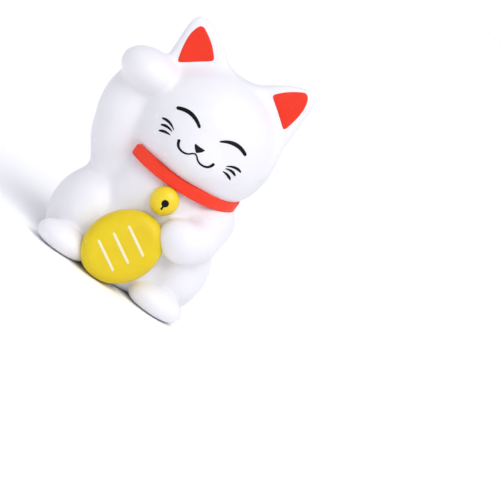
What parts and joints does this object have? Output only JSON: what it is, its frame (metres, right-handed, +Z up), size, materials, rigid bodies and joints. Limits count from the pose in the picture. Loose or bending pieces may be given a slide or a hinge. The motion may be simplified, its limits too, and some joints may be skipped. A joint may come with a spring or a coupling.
{
  "type": "beckoning cat figurine",
  "caption": "Small hollow moulded cat figurine with one paw raised and a coin held in the other, on a flat base with a push-in plug.",
  "frame": {"origin": "middle of the underside, on the base plug's flat face, in the plane of the seam between the half shells", "axes": "+Z up along the figure's height, -Y the way the cat faces, +X to the viewer's right"},
  "size_m": [0.0343, 0.0305, 0.047],
  "materials": {
    "white_vinyl": "satin",
    "plug_vinyl": "matte",
    "red_vinyl": "satin",
    "yellow_enamel": "satin",
    "black_ink": "satin",
    "coin_yellow": "satin",
    "cream_ink": "satin",
    "red_ink": "satin"
  },
  "bodies": {
    "figure": {"front_shell": "white_vinyl", "back_shell": "white_vinyl", "collar": "red_vinyl", "bell": "yellow_enamel", "bell_slot": "black_ink", "coin": "coin_yellow", "coin_stripes": "cream_ink", "left_ear_lining": "red_ink", "right_ear_lining": "red_ink", "left_eye": "black_ink", "right_eye": "black_ink", "nose": "black_ink", "mouth": "black_ink", "left_whiskers": "black_ink", "right_whiskers": "black_ink"},
    "plug": {"base_plug": "plug_vinyl"}
  },
  "joints": [
    {"name": "base_plug_pull", "type": "slide", "parent": "figure", "child": "plug", "axis": [0, 0, -1], "range_m": [0, 0.012]}
  ]
}
